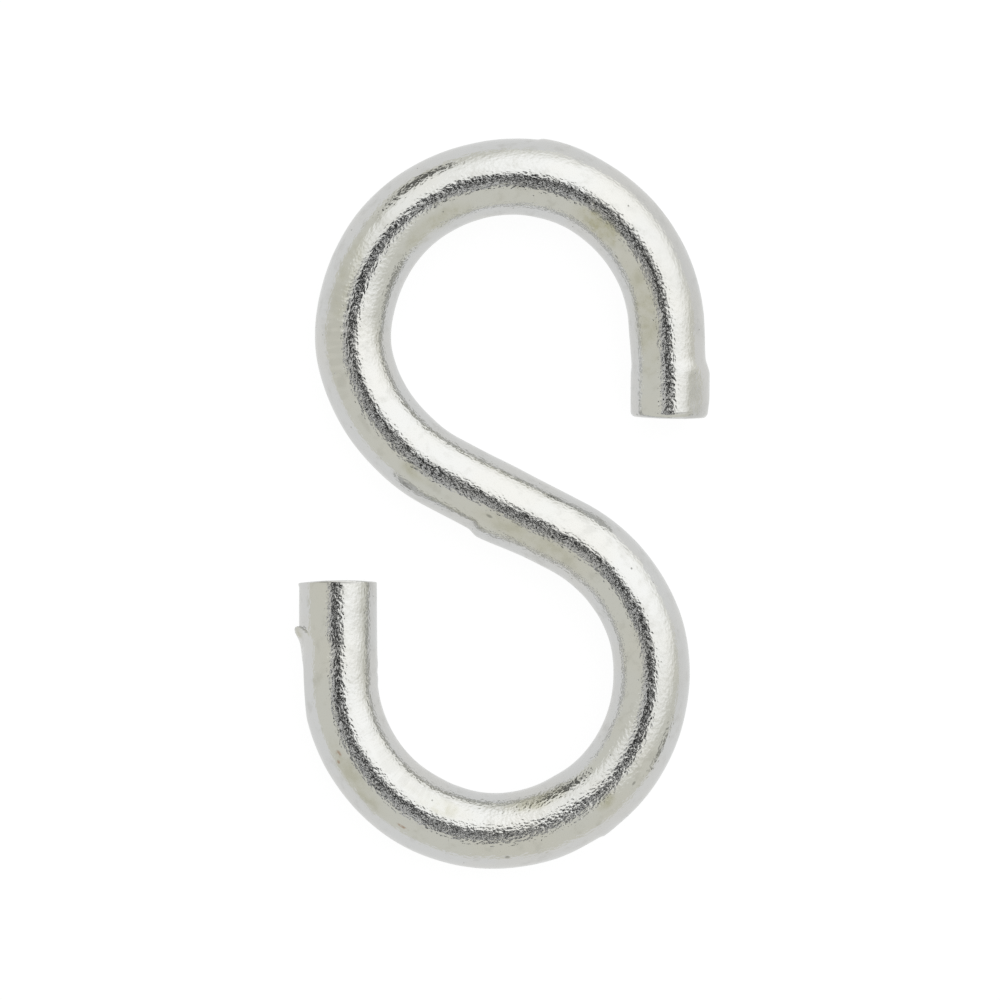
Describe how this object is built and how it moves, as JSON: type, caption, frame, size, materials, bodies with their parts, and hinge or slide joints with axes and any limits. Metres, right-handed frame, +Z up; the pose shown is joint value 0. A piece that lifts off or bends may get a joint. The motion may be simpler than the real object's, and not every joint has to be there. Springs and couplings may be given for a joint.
{
  "type": "s hook",
  "caption": "S-shaped hook bent from round steel wire, with a near-closed round loop at each end that opens beside the middle run, and square sheared wire ends.",
  "frame": {"origin": "on the surface that the hook lies on, under the middle of its outline", "axes": "+Z up, out of the plane that the wire is bent in; +Y towards the upper hook; +X to the side on which the upper hook is open"},
  "size_m": [0.0273, 0.048, 0.005],
  "materials": {
    "zinc_wire": "satin bright zinc plate with a fine speckled grain"
  },
  "bodies": {
    "root": {"s_hook": "zinc_wire"}
  },
  "joints": []
}
